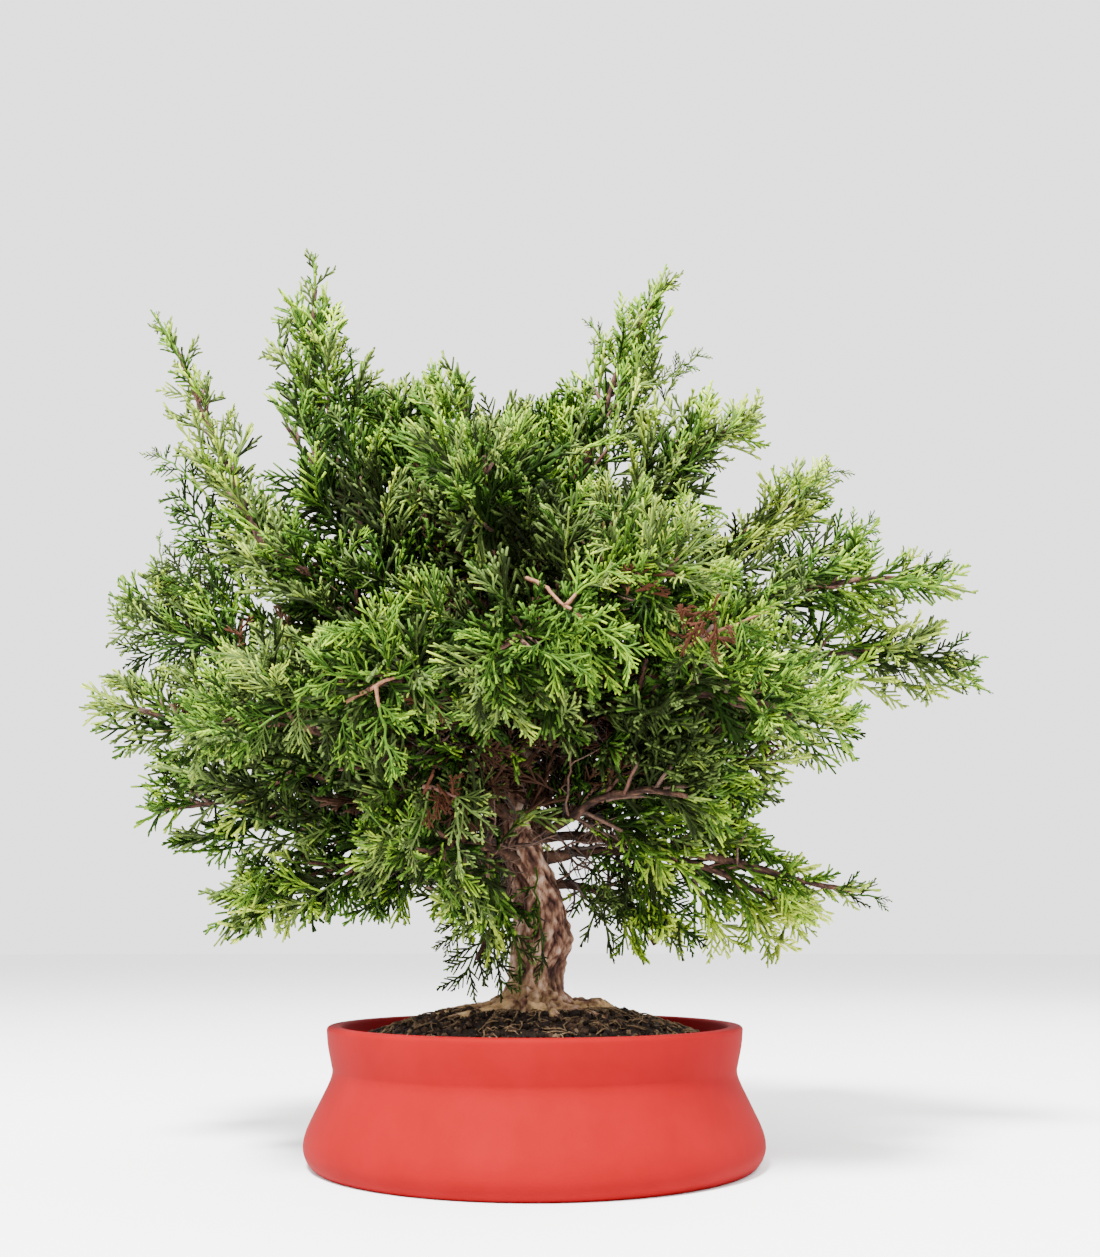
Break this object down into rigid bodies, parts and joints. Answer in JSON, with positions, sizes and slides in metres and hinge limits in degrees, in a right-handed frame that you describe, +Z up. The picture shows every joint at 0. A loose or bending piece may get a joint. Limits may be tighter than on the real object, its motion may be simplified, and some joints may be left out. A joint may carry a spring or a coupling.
{
  "type": "potted juniper bonsai",
  "caption": "Itoigawa juniper bonsai with a short thick trunk and a wide, open, untrimmed crown, in a low round pot of matte coral red.",
  "frame": {"origin": "centre of the pot's flat underside, on the surface it stands on", "axes": "+Z up from the underside to the crown; the tree's front looks along -Y; +X to the right seen from the front"},
  "size_m": [0.32, 0.218, 0.328],
  "materials": {
    "pot": "matte",
    "soil": "matte",
    "trunk": "matte",
    "bough": "matte",
    "foliage": "satin"
  },
  "bodies": {
    "root": {"bough_apex_left": "bough", "bough_apex_right": "bough", "bough_back_centre": "bough", "bough_back_left": "bough", "bough_back_right": "bough", "bough_back_top": "bough", "bough_front_centre": "bough", "bough_front_right": "bough", "bough_left_drop": "bough", "bough_left_front": "bough", "bough_left_high": "bough", "bough_left_leader": "bough", "bough_left_low": "bough", "bough_left_shoulder": "bough", "bough_left_skirt": "bough", "bough_low_right": "bough", "bough_right_far": "bough", "bough_right_front": "bough", "bough_right_high": "bough", "bough_right_mid": "bough", "bough_right_upper": "bough", "foliage_apex_left": "foliage", "foliage_apex_right": "foliage", "foliage_back_centre": "foliage", "foliage_back_left": "foliage", "foliage_back_low": "foliage", "foliage_back_right": "foliage", "foliage_back_top": "foliage", "foliage_crown_left": "foliage", "foliage_front_centre": "foliage", "foliage_front_left": "foliage", "foliage_front_low": "foliage", "foliage_front_low_right": "foliage", "foliage_front_right": "foliage", "foliage_front_top": "foliage", "foliage_left_drop": "foliage", "foliage_left_front": "foliage", "foliage_left_high": "foliage", "foliage_left_inner": "foliage", "foliage_left_leader": "foliage", "foliage_left_low": "foliage", "foliage_left_shoulder": "foliage", "foliage_left_skirt": "foliage", "foliage_left_under": "foliage", "foliage_low_right": "foliage", "foliage_low_right_drop": "foliage", "foliage_low_right_tip": "foliage", "foliage_right_far": "foliage", "foliage_right_front": "foliage", "foliage_right_high": "foliage", "foliage_right_low": "foliage", "foliage_right_mid": "foliage", "foliage_right_skirt": "foliage", "foliage_right_upper": "foliage", "foliage_top_centre": "foliage", "foliage_top_left": "foliage", "foliage_trunk_spray": "foliage", "pot": "pot", "soil": "soil", "trunk": "trunk"}
  },
  "joints": []
}
